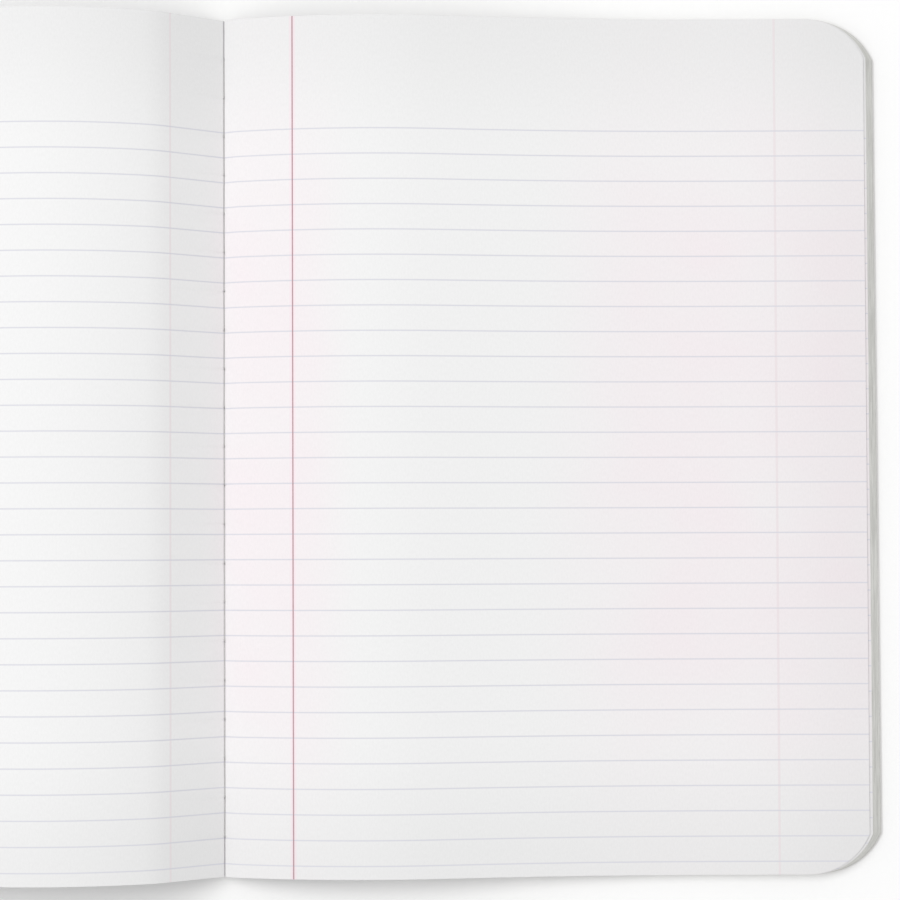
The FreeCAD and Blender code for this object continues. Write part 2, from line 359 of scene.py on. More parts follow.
        # Paint the fold's shade into the paper colour
        recipe.add("creased", MIX, {MIX_FACTOR: "fold_strength", MIX_FIRST: "haloed.2",
                                    MIX_SECOND: linear(self.fold_shade)}, data_type="RGBA")
        # Painted shade: the paper greys towards its head, tail and fore edge
        recipe.add("wear", MATH, {0: "ends_wear", 1: "fore_wear"}, operation="MULTIPLY")
        recipe.add("paper", VECTOR_MATH, {0: "creased.2", "Scale": "wear"}, operation="SCALE")

    def add_flecks(self, recipe: Recipe) -> None:
        """Mask a few specks of bark, one in some of the cells of a coarse scatter.

        Args:
            recipe: The tree to add to.
        """
        radius = self.fleck_radius / self.fleck_spacing
        recipe.add("cells", "ShaderNodeTexVoronoi",
                   {"Vector": "uv", "Scale": 1.0 / self.fleck_spacing})
        recipe.add("speck", RANGE, {"Value": "cells.Distance", "From Min": 0.7 * radius,
                                    "From Max": 1.3 * radius, "To Min": 1.0, "To Max": 0.0})
        recipe.add("chance", "ShaderNodeSeparateColor", {0: "cells.Color"})
        recipe.add("chosen", MATH, {0: "chance", 1: 1.0 - self.fleck_share},
                   operation="GREATER_THAN")
        recipe.add("flecks", MATH, {0: "speck", 1: "chosen"}, operation="MULTIPLY")


@dataclass(frozen=True)
class TrimmedEdges:
    """The guillotined edges of many leaves, pressed together.

    Cut fibres take up light, so they look greyer than the pages, with fine streaks
    from leaf to leaf. The streaks run along the leaves and are as thick as a few of them.
    """

    light: str = "#EBEBE8"
    dark: str = "#CCCCC8"
    streak: float = 0.19 * MM
    clump: float = 1.1 * MM
    run: float = 17.0 * MM
    relief: float = 0.06 * MM

    def build(self) -> bpy.types.Material:
        """Make the material. Its UV map holds the run along the edge and the depth in the pile.

        Returns:
            The material.
        """
        recipe, material = Recipe.for_material("trimmed_paper_edges")
        recipe.add("uv", "ShaderNodeUVMap", uv_map="page")
        for name, thickness in (("streaks", self.streak), ("clumps", self.clump)):
            recipe.add(name + "_place", "ShaderNodeMapping",
                       {"Vector": "uv", "Scale": (1.0 / self.run, 1.0 / thickness, 1.0)})
            recipe.add(name, NOISE, {"Vector": name + "_place", "Scale": 1.0, "Detail": 3.0,
                                     "Roughness": 0.7})
        recipe.add("both", MATH, {0: "streaks.Fac", 1: "clumps.Fac"}, operation="ADD")
        recipe.add("shade", RANGE, {"Value": "both", "From Min": 0.75, "From Max": 1.25})
        recipe.add("colour", MIX, {MIX_FACTOR: "shade", MIX_FIRST: linear(self.dark),
                                   MIX_SECOND: linear(self.light)}, data_type="RGBA")
        recipe.add("bump", "ShaderNodeBump",
                   {"Height": "streaks.Fac", "Distance": self.relief, "Strength": 0.6})
        # Cut fibre ends take light in, so the pile's edge looks duller than a page
        recipe.add("shader", "ShaderNodeBsdfPrincipled",
                   {"Base Color": "colour.2", "Roughness": 0.9, "Specular IOR Level": 0.2,
                    "Normal": "bump"})
        recipe.add("output", "ShaderNodeOutputMaterial", {"Surface": "shader"})
        return material


@dataclass(frozen=True)
class LiningPaper:
    """The plain white leaf that is pasted down inside a cover: matt, and cockled by its glue."""

    paper: str = "#E9E9E7"
    shade: str = "#DFDEDA"
    cloud_size: float = 28.0 * MM
    fibre_size: float = 0.55 * MM
    cockle_size: float = 18.0 * MM
    cockle_height: float = 0.3 * MM
    fibre_relief: float = 0.05

    def build(self) -> bpy.types.Material:
        """Make the material.

        Returns:
            The material.
        """
        recipe, material = Recipe.for_material("pasted_lining_paper")
        recipe.add("place", "ShaderNodeTexCoord")
        noises = (("cloud", self.cloud_size, 3.0), ("fibre", self.fibre_size, 4.0),
                  ("cockle", self.cockle_size, 2.0))
        for name, size, detail in noises:
            recipe.add(name, NOISE,
                       {"Vector": "place.Object", "Scale": 1.0 / size, "Detail": detail})
        recipe.add("cloudy", RANGE, {"Value": "cloud.Fac", "From Min": 0.35, "From Max": 0.65})
        recipe.add("worn", MATH, {0: "cloudy", 1: "fibre.Fac"}, operation="MULTIPLY")
        recipe.add("colour", MIX, {MIX_FACTOR: "worn", MIX_FIRST: linear(self.paper),
                                   MIX_SECOND: linear(self.shade)}, data_type="RGBA")
        recipe.add("relief", MATH, {0: "fibre.Fac", 1: self.fibre_relief, 2: "cockle.Fac"},
                   operation="MULTIPLY_ADD")
        recipe.add("bump", "ShaderNodeBump",
                   {"Height": "relief", "Distance": self.cockle_height, "Strength": 0.5})
        # Glue has drawn the sheet into low waves, which shade softly and never shine
        recipe.add("shader", "ShaderNodeBsdfPrincipled",
                   {"Base Color": "colour.2", "Roughness": 0.85, "Specular IOR Level": 0.3,
                    "Normal": "bump"})
        recipe.add("output", "ShaderNodeOutputMaterial", {"Surface": "shader"})
        return material


@dataclass(frozen=True)
class MarbledBoard:
    """Pressed board faced with traditional black and white marbled paper.

    The printed paper has a thin varnish and a dull gloss. The board's cut edges stay
    bare and show its grey felted pulp.
    """

    black: str = "#141416"
    white: str = "#E4E3DF"
    core_dark: str = "#8F8A80"
    core_light: str = "#A8A297"
    blotch: float = 4.2 * MM
    vein: float = 3.2 * MM
    drift: float = 7.0 * MM
    grain: float = 0.38 * MM
    grain_height: float = 0.05 * MM
    edge_tilt: float = 0.4

    def build(self) -> bpy.types.Material:
        """Make the material, with the edges told from the faces by the piece's own normals.

        Returns:
            The material.
        """
        recipe, material = Recipe.for_material("marbled_cover_board")
        recipe.add("place", "ShaderNodeTexCoord")
        recipe.add("flat", "ShaderNodeMapping",
                   {"Vector": "place.Object", "Scale": (1.0, 1.0, 0.0)})
        recipe.add("drift", NOISE, {"Vector": "flat", "Scale": 1.0 / self.drift, "Detail": 3.0})
        recipe.add("swirl", VECTOR_MATH, {0: "drift.Color", "Scale": 1.6 * self.blotch},
                   operation="SCALE")
        recipe.add("bent", VECTOR_MATH, {0: "flat", 1: "swirl"}, operation="ADD")
        recipe.add("blots", NOISE, {"Vector": "bent", "Scale": 1.0 / self.blotch, "Detail": 5.0,
                                    "Roughness": 0.62, "Distortion": 0.8})
        recipe.add("veins", "ShaderNodeTexVoronoi", {"Vector": "bent", "Scale": 1.0 / self.vein},
                   feature="DISTANCE_TO_EDGE")
        recipe.add("thin", RANGE, {"Value": "veins.Distance", "From Min": 0.0, "From Max": 0.12,
                                   "To Min": 0.09, "To Max": -0.02})
        recipe.add("veined", MATH, {0: "blots.Fac", 1: "thin"}, operation="ADD")
        recipe.add("print", RANGE, {"Value": "veined", "From Min": 0.515, "From Max": 0.545})
        recipe.add("grain", NOISE,
                   {"Vector": "place.Object", "Scale": 1.0 / self.grain, "Detail": 3.0})
        recipe.add("pulp", RANGE, {"Value": "grain.Fac", "From Min": 0.3, "From Max": 0.7})
        recipe.add("facing", "ShaderNodeSeparateXYZ", {0: "place.Normal"})
        recipe.add("level", MATH, {0: "facing.Z"}, operation="ABSOLUTE")
        recipe.add("edge", MATH, {0: "level", 1: self.edge_tilt}, operation="LESS_THAN")
        mixes = (("marble", "print", linear(self.black), linear(self.white)),
                 ("core", "pulp", linear(self.core_dark), linear(self.core_light)),
                 ("colour", "edge", "marble.2", "core.2"))
        for name, factor, first, second in mixes:
            recipe.add(name, MIX, {MIX_FACTOR: factor, MIX_FIRST: first, MIX_SECOND: second},
                       data_type="RGBA")
        recipe.add("bump", "ShaderNodeBump",
                   {"Height": "grain.Fac", "Distance": self.grain_height, "Strength": 0.5})
        # A thin varnish over the printed paper gives it a dull, even gloss
        recipe.add("shader", "ShaderNodeBsdfPrincipled",
                   {"Base Color": "colour.2", "Roughness": 0.46, "Specular IOR Level": 0.35,
                    "Coat Weight": 0.06, "Coat Roughness": 0.35, "Normal": "bump"})
        recipe.add("output", "ShaderNodeOutputMaterial", {"Surface": "shader"})
        return material


@dataclass(frozen=True)
class BookCloth:
    """Black starched book cloth in a plain weave.

    The starch gives it a dull sheen, and its high threads are rubbed a little grey.
    """

    black: str = "#131315"
    rubbed: str = "#3A3A3D"
    thread_pitch: float = 0.42 * MM
    slub: Point = (2.0 * MM, 14.0 * MM, 2.0 * MM)
    wear: float = 11.0 * MM
    weave_height: float = 0.12 * MM
    slub_relief: float = 0.5

    def build(self) -> bpy.types.Material:
        """Make the material.

        Returns:
            The material.
        """
        turn = 2.0 * math.pi / self.thread_pitch
        recipe, material = Recipe.for_material("black_book_cloth")
        recipe.add("place", "ShaderNodeTexCoord")
        recipe.add("split", "ShaderNodeSeparateXYZ", {0: "place.Object"})
        for name, axis in (("warp", "split.X"), ("weft", "split.Y")):
            recipe.add(name + "_turn", MATH, {0: axis, 1: turn}, operation="MULTIPLY")
            recipe.add(name, MATH, {0: name + "_turn"}, operation="SINE")
        recipe.add("crossed", MATH, {0: "warp", 1: "weft"}, operation="MULTIPLY")
        recipe.add("weave", RANGE, {"Value": "crossed", "From Min": -1.0, "From Max": 1.0})
        recipe.add("drawn", "ShaderNodeMapping",
                   {"Vector": "place.Object", "Scale": [1.0 / s for s in self.slub]})
        recipe.add("slubs", NOISE, {"Vector": "drawn", "Scale": 1.0})
        recipe.add("wear_noise", NOISE, {"Vector": "place.Object", "Scale": 1.0 / self.wear,
                                         "Detail": 4.0, "Roughness": 0.7})
        recipe.add("wear", RANGE, {"Value": "wear_noise.Fac", "From Min": 0.45, "From Max": 0.75,
                                   "To Min": 0.1, "To Max": 0.9})
        recipe.add("high", MATH, {0: "weave", 1: "slubs.Fac"}, operation="MULTIPLY")
        recipe.add("rubbed", MATH, {0: "high", 1: "wear"}, operation="MULTIPLY")
        recipe.add("colour", MIX, {MIX_FACTOR: "rubbed", MIX_FIRST: linear(self.black),
                                   MIX_SECOND: linear(self.rubbed)}, data_type="RGBA")
        recipe.add("relief", MATH, {0: "slubs.Fac", 1: self.slub_relief, 2: "weave"},
                   operation="MULTIPLY_ADD")
        recipe.add("bump", "ShaderNodeBump",
                   {"Height": "relief", "Distance": self.weave_height, "Strength": 0.7})
        # Starch fills the weave, so the cloth shows its threads with a low sheen and no fuzz
        recipe.add("shader", "ShaderNodeBsdfPrincipled",
                   {"Base Color": "colour.2", "Roughness": 0.68, "Specular IOR Level": 0.3,
                    "Sheen Weight": 0.06, "Sheen Roughness": 0.5, "Normal": "bump"})
        recipe.add("output", "ShaderNodeOutputMaterial", {"Surface": "shader"})
        return material


@dataclass(frozen=True)
class CottonThread:
    """Bleached cotton sewing thread: soft, matt and a little hairy along its plies."""

    pale: str = "#ECECEA"
    shade: str = "#C9C8C6"
    hair: Point = (0.11 * MM, 0.4 * MM, 0.11 * MM)
    hair_height: float = 0.03 * MM

    def build(self) -> bpy.types.Material:
        """Make the material.

        Returns:
            The material.
        """
        recipe, material = Recipe.for_material("bleached_cotton_thread")
        recipe.add("place", "ShaderNodeTexCoord")
        recipe.add("drawn", "ShaderNodeMapping",
                   {"Vector": "place.Object", "Scale": [1.0 / s for s in self.hair]})
        recipe.add("fibre", NOISE,
                   {"Vector": "drawn", "Scale": 1.0, "Detail": 3.0, "Roughness": 0.7})
        recipe.add("tone", RANGE, {"Value": "fibre.Fac", "From Min": 0.3, "From Max": 0.7})
        recipe.add("colour", MIX, {MIX_FACTOR: "tone", MIX_FIRST: linear(self.shade),
                                   MIX_SECOND: linear(self.pale)}, data_type="RGBA")
        recipe.add("bump", "ShaderNodeBump",
                   {"Height": "fibre.Fac", "Distance": self.hair_height, "Strength": 0.6})
        # Short cotton hairs give each ply a soft edge and no gloss
        recipe.add("shader", "ShaderNodeBsdfPrincipled",
                   {"Base Color": "colour.2", "Roughness": 0.8, "Specular IOR Level": 0.3,
                    "Sheen Weight": 0.2, "Normal": "bump"})
        recipe.add("output", "ShaderNodeOutputMaterial", {"Surface": "shader"})
        return material


@dataclass(frozen=True)
class LeafSizes:
    """Sizes of the sewn leaves and of the covers that they lie on."""

    width: float = 188.1 * MM
    height: float = 247.65 * MM
    thickness: float = 0.075 * MM
    count: int = 50
    loose: int = 2
    fold_z: float = 4.95 * MM
    fold_depth: float = 4.3 * MM
    flat_z: float = 4.7 * MM
    corner_radius: float = 19.05 * MM
    corner_inset: float = 17.5 * MM
    ledge_head: float = 0.7 * MM
    ledge_tail: float = 1.0 * MM
    fan_head: float = 3.0 * MM
    fan_tail: float = 3.8 * MM
    edge_lift: float = 0.3 * MM
    loose_gap: float = 0.004 * MM
    groove_reach: float = 0.28 * MM
    groove_depth: float = 0.5 * MM
    groove_fade: float = 1.6 * MM
    registration: float = 2.2 * MM

    @property
    def pile(self) -> float:
        """Thickness of all the leaves on one side."""
        return self.thickness * self.count


@dataclass(frozen=True)
class WingSizes:
    """One side of the open leaves in section, from the fold outwards. Angles are in degrees."""

    side: Side
    rise_angle: float
    rise: float
    knee_radius: float
    knee_angle: float
    crown_radius: float
    fall_angle: float
    foot_radius: float


LEFT_WING = WingSizes(Side.LEFT, rise_angle=43.4, rise=21.105 * MM, knee_radius=21.895 * MM,
                      knee_angle=24.6, crown_radius=70.801 * MM, fall_angle=23.0,
                      foot_radius=145.006 * MM)
RIGHT_WING = WingSizes(Side.RIGHT, rise_angle=37.5, rise=1.994 * MM, knee_radius=16.007 * MM,
                       knee_angle=19.6, crown_radius=105.392 * MM, fall_angle=10.5,
                       foot_radius=365.008 * MM)


@dataclass(frozen=True)
class Stretch:
    """A straight or an arc of a wing's path: where it starts, its length and its two angles."""

    begin: float
    length: float
    x: float
    z: float
    angle_from: float
    angle_to: float

    def at(self, run: float) -> tuple[float, float, float]:
        """Follow the stretch.

        Args:
            run: Length along it, which may be negative on a straight.

        Returns:
            Outward distance from the fold, height and the path's angle there.
        """
        if self.angle_from == self.angle_to:
            x = self.x + run * math.cos(self.angle_from)
            return x, self.z + run * math.sin(self.angle_from), self.angle_from
        radius = self.length / (self.angle_from - self.angle_to)
        angle = self.angle_from - run / radius
        x = self.x + radius * (math.sin(self.angle_from) - math.sin(angle))
        return x, self.z + radius * (math.cos(angle) - math.cos(self.angle_from)), angle


class WingPath:
    """The path of the top leaf on one side of the fold, as a chain of tangent stretches."""

    ARC_STEP = math.radians(2.5)
    LEAST_STEP = 0.05 * MM
    GROOVE_SHARES = (0.0, 0.45, 0.75, 1.0, 2.0, 4.0)
    # The last, level stretch is longer than any leaf
    LEVEL_RUN = 1.0

    def __init__(self, sizes: WingSizes, leaves: LeafSizes) -> None:
        """Lay the path out.

        Args:
            sizes: This wing's section.
            leaves: The sizes of the leaves.
        """
        self.side = sizes.side
        self.leaves = leaves
        self.start = math.radians(sizes.rise_angle)
        knee = math.radians(sizes.knee_angle)
        fall = math.radians(sizes.fall_angle)
        climb = sizes.rise * math.sin(self.start)
        climb += sizes.knee_radius * (math.cos(knee) - math.cos(self.start))
        climb += sizes.crown_radius * (math.cos(fall) - math.cos(knee))
        climb -= sizes.foot_radius * (1.0 - math.cos(fall))
        fall_length = (leaves.fold_z - leaves.flat_z + climb) / math.sin(fall)
        self.stretches: list[Stretch] = []
        self.add(sizes.rise, self.start, self.start)
        self.add(sizes.knee_radius * (self.start - knee), self.start, knee)
        self.add(sizes.crown_radius * (knee + fall), knee, -fall)
        self.add(fall_length, -fall, -fall)
        self.add(sizes.foot_radius * fall, -fall, 0.0)
        self.add(self.LEVEL_RUN, 0.0, 0.0)

    def add(self, length: float, angle_from: float, angle_to: float) -> None:
        """Add a stretch where the last one ends.

        Args:
            length: Its length.
            angle_from: Its angle where it starts.
            angle_to: Its angle where it ends.
        """
        if self.stretches:
            last = self.stretches[-1]
            begin = last.begin + last.length
            x, z, _ = last.at(last.length)
        else:
            begin, x, z = 0.0, 0.0, self.leaves.fold_z
        self.stretches.append(Stretch(begin, length, x, z, angle_from, angle_to))

    def place(self, reach: float, depth: float, lift: float = 0.0) -> tuple[float, float]:
        """Find a point under the path.

        Args:
            reach: Length along the top leaf from the fold.
            depth: Distance below the top leaf, square to it.
            lift: Height added on top.

        Returns:
            X and Z.
        """
        stretch = self.stretches[0]
        for candidate in self.stretches:
            if reach >= candidate.begin:
                stretch = candidate
        x, z, angle = stretch.at(reach - stretch.begin)
        return self.side.value * (x + depth * math.sin(angle)), z - depth * math.cos(angle) + lift

    def reach_back(self, depth: float) -> float:
        """Find how far back along the rise this depth meets the other wing's leaves.

        Args:
            depth: Distance below the top leaf.

        Returns:
            A length along the path, which is negative under the fold.
        """
        drop = depth * self.leaves.fold_depth / self.leaves.pile
        return -(drop - depth * math.cos(self.start)) / math.sin(self.start)

    def stations(self, last: float) -> list[float]:
        """Choose lengths along the path that draw its arcs smoothly.

        Args:
            last: The last length.

        Returns:
            Lengths from the fold outwards, closest together at the fold's groove.
        """
        found = [share * self.leaves.groove_reach for share in self.GROOVE_SHARES]
        for stretch in self.stretches[:-1]:
            turn = abs(stretch.angle_from - stretch.angle_to)
            steps = max(1, round(turn / self.ARC_STEP))
            found += [stretch.begin + stretch.length * (i + 1) / steps for i in range(steps)]
        found = sorted(r for r in found if r < last)
        kept = [r for i, r in enumerate(found) if i == 0 or r - found[i - 1] > self.LEAST_STEP]
        return kept + [last]


@dataclass(frozen=True)
class Column:
    """A line of mesh points that runs from head to tail of a sheet.

    It lies at a reach from the fold, at a share of the turned edge strip, or in the fold.
    """

    path: WingPath
    reach: float
    share: float | None = None
    fold: bool = False


@dataclass(frozen=True)
class Outline:
    """One level of the pile: its depth and how far its edges stand out from the top leaf's.

    The left and right values are at the head and the tail. The groove is how far the
    thread pulls this level down at the fold.
    """

    depth: float
    left: Pair
    right: Pair
    ends: float = 0.0
    lift: float = 0.0
    groove: float = 0.0


class MeshParts:
    """Collects quads with their page coordinates and material numbers, and makes a mesh."""

    MERGE = 0.0001 * MM
    SHARP = math.radians(32)

    def __init__(self) -> None:
        """Start empty."""
        self.points: list[Point] = []
        self.faces: list[tuple[int, ...]] = []
        self.uvs: list[Pair] = []
        self.slots: list[int] = []

    def grid(self, rows: Sequence[Sequence[Point]], uvs: Sequence[Sequence[Pair]],
             slot: int, flip: bool = False) -> None:
        """Add a sheet of quads.

        Args:
            rows: Points by row and column.
            uvs: Page coordinates by row and column.
            slot: The material number.
            flip: Whether to turn the faces over.
        """
        start = len(self.points)
        width = len(rows[0])
        flat_uvs = [uv for row in uvs for uv in row]
        for row in rows:
            self.points.extend(row)
        for r in range(len(rows) - 1):
            for c in range(width - 1):
                a = r * width + c
                corners = (a, a + 1, a + width + 1, a + width)
                if flip:
                    corners = corners[::-1]
                self.faces.append(tuple(start + k for k in corners))
                self.uvs.extend(flat_uvs[k] for k in corners)
                self.slots.append(slot)

    def build(self, name: str, finishes: Iterable[bpy.types.Material]) -> bpy.types.Object:
        """Make the object, with its faces turned outward and only its real corners sharp.

        Args:
            name: The object's name.
            finishes: The materials, in slot order.

        Returns:
            The new object, linked to the scene.
        """
        mesh = bpy.data.meshes.new(name)
        mesh.from_pydata(self.points, [], self.faces)
        layer = mesh.uv_layers.new(name="page")
        layer.data.foreach_set("uv", [value for uv in self.uvs for value in uv])
        mesh.polygons.foreach_set("material_index", self.slots)
        for finish in finishes:
            mesh.materials.append(finish)
        edit = bmesh.new()
        edit.from_mesh(mesh)
        bmesh.ops.remove_doubles(edit, verts=edit.verts, dist=self.MERGE)
        bmesh.ops.recalc_face_normals(edit, faces=edit.faces)
        edit.to_mesh(mesh)
        edit.free()
        mesh.shade_smooth()
        mesh.set_sharp_from_angle(angle=self.SHARP)
        return new_object(name, mesh)


class LeafBlock:
    """The sewn leaves: two loose ones on top and every leaf edge of the pile below them."""

    # The edge strip, in which the columns close up to follow the round corners
    TURN = 26.0 * MM
    EDGE_SHARES = (0.12, 0.3, 0.5, 0.68, 0.82, 0.92, 0.975, 1.0)
    # How far in from the fore edge the loose leaves start to lift
    LIFTED = 38.0 * MM
    ARC_STEPS = 14
    MIDDLE_ROWS = 8
    HOLE_ROWS = 3
    HOLE_ROW = 0.26 * MM
    # How far a leaf may be out of line at its fore edge, out of square, and short at its ends
    DRIFT, SKEW, UNEVEN = 0.07 * MM, 0.04 * MM, 0.05 * MM
    SEED = 41
    FACE, EDGE = 0, 1

    def __init__(self, leaves: LeafSizes, stitches: "StitchSizes") -> None:
        """Prepare the two wings.

        Args:
            leaves: Sizes of the leaves.
            stitches: Sizes of the sewing, for the dimples at its needle holes.
        """
        self.leaves = leaves
        self.stitches = stitches
        self.left = WingPath(LEFT_WING, leaves)
        self.right = WingPath(RIGHT_WING, leaves)
        self.turn = leaves.width - self.TURN
        self.columns = self.make_columns()
        self.random = random.Random(self.SEED)

    def make_columns(self) -> list[Column]:
        """Lay out the columns of both wings.

        Returns:
            Columns from the left fore edge to the right one.
        """
        sides = []
        for path in (self.left, self.right):
            side = [Column(path, 0.0, fold=True)]
            side += [Column(path, reach) for reach in path.stations(self.turn)]
            side += [Column(path, 0.0, share) for share in self.EDGE_SHARES]
            sides.append(side)
        return sides[0][::-1] + sides[1]

    def rows(self, with_holes: bool) -> list[float]:
        """Y of each row from head to tail.

        Args:
            with_holes: Whether to add close rows around each needle hole.

        Returns:
            The rows.
        """
        half = self.leaves.height / 2
        radius = self.leaves.corner_radius
        stop = math.acos(self.leaves.corner_inset / radius)
        angles = [math.pi / 2 - (math.pi / 2 - stop) * i / self.ARC_STEPS
                  for i in range(self.ARC_STEPS + 1)]
        arc = [half - radius + radius * math.sin(angle) for angle in angles]
        middle = [arc[-1] * (1 - i / self.MIDDLE_ROWS) for i in range(1, self.MIDDLE_ROWS)]
        found = arc + middle + [0.0] + [-y for y in middle] + [-y for y in arc]
        if with_holes:
            for hole in self.stitches.holes():
                found += [hole + k * self.HOLE_ROW
                          for k in range(-self.HOLE_ROWS, self.HOLE_ROWS + 1)]
        found = sorted(set(found), reverse=True)
        return [y for i, y in enumerate(found) if i == 0 or found[i - 1] - y > MeshParts.MERGE]

    def limit(self, y: float, out: Pair) -> float:
        """Find how far a sheet reaches at one height on the page, with its punched corners.

        Args:
            y: The height on the page.
            out: How far the sheet stands out at the head and at the tail.

        Returns:
            A length from the fold.
        """
        half = self.leaves.height / 2
        share = (y + half) / (2 * half)
        edge = self.leaves.width + out[1] + (out[0] - out[1]) * share
        beyond = abs(y) - (half - self.leaves.corner_radius)
        if beyond > 0:
            bow = math.sqrt(max(self.leaves.corner_radius ** 2 - beyond ** 2, 0.0))
            edge = min(edge, edge - self.leaves.corner_inset + bow)
        return edge

    def point(self, column: Column, y: float, level: Outline) -> tuple[Point, Pair]:
        """Place one point of a sheet.

        Args:
            column: The column it is in.
            y: Its height on the page.
            level: The sheet's outline.

        Returns:
            The point, and its place on the page as length from the fold and height.
        """
        out = level.left if column.path is self.left else level.right
        if column.fold:
            reach = column.path.reach_back(level.depth)
        elif column.share is None:
            reach = column.reach
        else:
            reach = self.turn + column.share * (self.limit(y, out) - self.turn)
        rise = level.lift * self.ease((reach - self.leaves.width + self.LIFTED) / self.LIFTED)
        rise -= level.groove * (1.0 - self.ease(2.0 * reach / self.leaves.groove_reach - 1.0))
        x, z = column.path.place(reach, level.depth, rise)
        page_y = y
        y = y * (1.0 + level.ends / (self.leaves.height / 2))
        return (x, y, z), (column.path.side.value * max(reach, 0.0), page_y)

    @staticmethod
    def ease(value: float) -> float:
        """Ease a value between 0 and 1, held at the ends."""
        t = min(max(value, 0.0), 1.0)
        return t * t * (3.0 - 2.0 * t)

    def face(self, parts: MeshParts, level: Outline, rows: list[float], shift: float,
             dimples: bool, flip: bool) -> None:
        """Add the upper or lower face of a sheet.

        Args:
            parts: The mesh to add to.
            level: The sheet's outline.
            rows: The rows to draw it with.
            shift: How far its print is moved on the page.
            dimples: Whether it has dimples at the needle holes.
            flip: Whether it faces down.
        """
        points, uvs = [], []
        holes = self.stitches.holes() if dimples else []
        for y in rows:
            line = [self.point(column, y, level) for column in self.columns]
            if dimples:
                near = min(abs(y - hole) for hole in holes)
                line = [(self.dimple(p, near), uv) for p, uv in line]
            points.append([p for p, _ in line])
            uvs.append([(u, v + shift) for _, (u, v) in line])
        parts.grid(points, uvs, self.FACE, flip)

    def dimple(self, point: Point, near: float) -> Point:
        """Pull the paper down where the thread goes through it.

        Args:
            point: The point to move.
            near: How far it is from the nearest needle hole, along the fold.

        Returns:
            The moved point.
        """
        x, y, z = point
        distance = math.hypot(x, near) / self.stitches.dimple_radius
        return x, y, z - self.stitches.dimple_depth * math.exp(-distance * distance)

    def loop(self, level: Outline, rows: list[float]) -> list[Point]:
        """Follow the outline of a sheet: head, right fore edge, tail and left fore edge.

        Args:
            level: The sheet's outline.
            rows: The rows that it is drawn with.

        Returns:
            The outline's points, with the first one again at the end.
        """
        ring = [self.point(c, rows[0], level)[0] for c in self.columns]
        ring += [self.point(self.columns[-1], y, level)[0] for y in rows[1:-1]]
        ring += [self.point(c, rows[-1], level)[0] for c in self.columns[::-1]]
        ring += [self.point(self.columns[0], y, level)[0] for y in rows[-2:0:-1]]
        return ring + ring[:1]

    def skirt(self, parts: MeshParts, upper: Outline, lower: Outline, rows: list[float]) -> None:
        """Add the strip between two outlines.

        Args:
            parts: The mesh to add to.
            upper: The outline above.
            lower: The outline below.
            rows: The rows that both are drawn with.
        """
        rings = [self.loop(level, rows) for level in (upper, lower)]
        runs = [0.0]
        for a, b in zip(rings[0], rings[0][1:]):
            runs.append(runs[-1] + math.dist(a, b))
        depths = [level.depth + level.right[0] / 2 for level in (upper, lower)]
        uvs = [[(run, depth) for run in runs] for depth in depths]
        parts.grid(rings, uvs, self.EDGE)

    def loose_leaves(self, parts: MeshParts) -> None:
        """Add the top leaves, whose fore edges lift slightly off the ones below.

        Args:
            parts: The mesh to add to.
        """
        rows = self.rows(True)
        size = self.leaves
        flush = (0.0, 0.0)
        under = size.loose * size.thickness - size.loose_gap
        top = Outline(0.0, flush, flush, lift=size.edge_lift, groove=size.groove_depth)
        bottom = Outline(under, flush, flush, lift=size.edge_lift, groove=size.groove_depth)
        self.face(parts, top, rows, 0.0, True, False)
        self.skirt(parts, top, bottom, rows)
        self.face(parts, bottom, rows, 0.0, True, True)

    def fanned_leaves(self, parts: MeshParts) -> None:
        """Add the rest of the pile, where each leaf steps out a little further than the last.

        Args:
            parts: The mesh to add to.
        """
        rows = self.rows(False)
        size = self.leaves
        levels = self.fan_levels()
        self.face(parts, levels[0], rows, size.registration, False, False)
        for upper, lower in zip(levels, levels[1:]):
            under = Outline(lower.depth, upper.left, upper.right, upper.ends, groove=lower.groove)
            self.skirt(parts, upper, under, rows)
            if lower is not levels[-1]:
                self.skirt(parts, under, lower, rows)
            else:
                self.face(parts, under, rows, 0.0, False, True)

    def fan_levels(self) -> list[Outline]:
        """Draw up the pile's levels, with each leaf a little out of line.

        Returns:
            One outline for each leaf, and one that closes the pile below.
        """
        size = self.leaves
        levels = []
        for index in range(size.loose, size.count + 1):
            share = (index - size.loose) / (size.count - size.loose)
            head = size.ledge_head + (size.fan_head - size.ledge_head) * share
            tail = size.ledge_tail + (size.fan_tail - size.ledge_tail) * share
            middle = (head + tail) / 2
            drift = self.random.uniform(-self.DRIFT, self.DRIFT) if index > size.loose else 0.0
            skew = self.random.uniform(-self.SKEW, self.SKEW) if index > size.loose else 0.0
            ends = self.random.uniform(-self.UNEVEN, 0.0)
            depth = index * size.thickness
            pull = max(0.0, 1.0 - depth / size.groove_fade)
            groove = (size.groove_depth + self.stitches.dimple_depth) * pull
            levels.append(Outline(depth, (middle + drift, middle - skew),
                                  (head + drift, tail + drift + skew), ends, groove=groove))
        return levels

    def build(self, face: bpy.types.Material, edge: bpy.types.Material) -> bpy.types.Object:
        """Make the leaves.

        Args:
            face: Material of the printed pages.
            edge: Material of the cut edges.

        Returns:
            The finished piece.
        """
        parts = MeshParts()
        self.loose_leaves(parts)
        self.fanned_leaves(parts)
        made = parts.build("leaf_pile", (face, edge))
        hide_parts(Node.PAGE_BLOCK.value)
        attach(made, Body.LEAVES.value)
        return made


